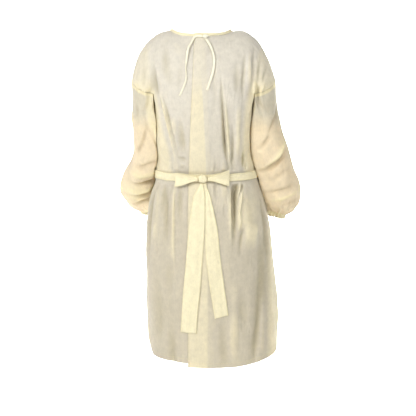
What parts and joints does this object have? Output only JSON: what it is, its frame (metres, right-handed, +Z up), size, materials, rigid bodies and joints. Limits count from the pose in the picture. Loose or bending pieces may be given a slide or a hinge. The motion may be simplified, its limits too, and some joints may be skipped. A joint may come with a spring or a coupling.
{
  "type": "isolation gown",
  "caption": "Worn isolation gown of thin nonwoven cloth, hollow, open down the back, with long sleeves, elastic cuffs, neck ties and a belt tied in a bow behind.",
  "frame": {"origin": "centre of the neck opening, level with the top of the shoulders, where the wearer's neck and shoulders hold the gown up", "axes": "+Z up, -Y towards the back of the gown with its overlap, ties and bow, +X towards the wearer's right"},
  "size_m": [0.5967, 0.3672, 1.077],
  "materials": {
    "body_cloth": "matt spunbond nonwoven, one thin layer, greyish cream",
    "sleeve_cloth": "matt spunbond nonwoven, warm cream-yellow",
    "cuff_cloth": "matt nonwoven gathered on elastic",
    "binding_cloth": "matt nonwoven folded double, pale yellow",
    "belt_cloth": "matt nonwoven folded double, pale yellow"
  },
  "bodies": {
    "root": {"front_panel": "body_cloth", "back_panel_right": "body_cloth", "back_panel_left": "body_cloth", "sleeve_right": "sleeve_cloth", "sleeve_left": "sleeve_cloth", "cuff_right": "cuff_cloth", "cuff_left": "cuff_cloth", "neck_binding": "binding_cloth", "neck_knot": "binding_cloth", "neck_tie_right": "binding_cloth", "neck_tie_left": "binding_cloth", "belt_band": "belt_cloth", "belt_knot": "belt_cloth", "bow_loop_right": "belt_cloth", "bow_loop_left": "belt_cloth", "belt_tail_right": "belt_cloth", "belt_tail_left": "belt_cloth"}
  },
  "joints": []
}
